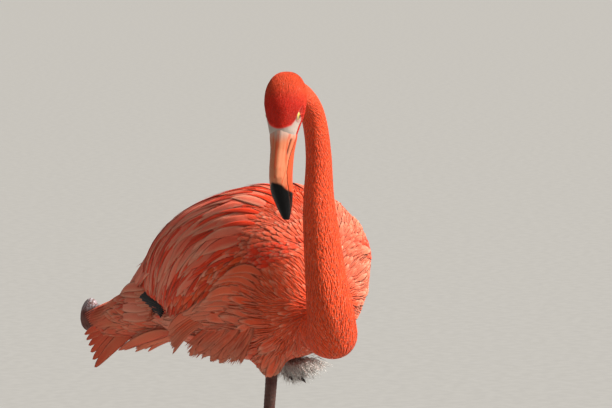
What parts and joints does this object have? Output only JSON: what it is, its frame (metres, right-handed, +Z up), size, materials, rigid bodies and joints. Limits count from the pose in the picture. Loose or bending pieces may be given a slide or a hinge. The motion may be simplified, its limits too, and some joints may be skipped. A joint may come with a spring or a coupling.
{
  "type": "flamingo, life-size still model",
  "caption": "Life-size American flamingo resting on one leg, head turned to its right with the bill hanging down and the other leg tucked back under the tail.",
  "frame": {"origin": "underside of the standing foot's middle toe, under the bird's centre of mass, at floor level", "axes": "+Z up, -Y the way the bird's body heads, +X to the bird's left"},
  "size_m": [0.2488, 0.6143, 0.8508],
  "materials": {
    "plumage": "soft",
    "black_feather": "soft",
    "bill": "satin",
    "eye": "glossy",
    "leg_skin": "matt",
    "claw": "satin"
  },
  "bodies": {
    "root": {"bill_lower": "bill", "bill_upper": "bill", "claw_hind_right": "claw", "claw_inner_left": "claw", "claw_inner_right": "claw", "claw_middle_left": "claw", "claw_middle_right": "claw", "claw_outer_left": "claw", "claw_outer_right": "claw", "eye_left": "eye", "eye_right": "eye", "foot_left": "leg_skin", "foot_right": "leg_skin", "head": "plumage", "hock_left": "leg_skin", "hock_right": "leg_skin", "neck_base": "plumage", "neck_crook": "plumage", "neck_lower": "plumage", "neck_upper": "plumage", "shank_left": "leg_skin", "shank_right": "leg_skin", "tail": "plumage", "tarsus_left": "leg_skin", "tarsus_right": "leg_skin", "thigh_left": "plumage", "thigh_right": "plumage", "trunk": "plumage", "wing_left": "plumage", "wing_right": "plumage", "wing_tip_left": "black_feather", "wing_tip_right": "black_feather"}
  },
  "joints": []
}
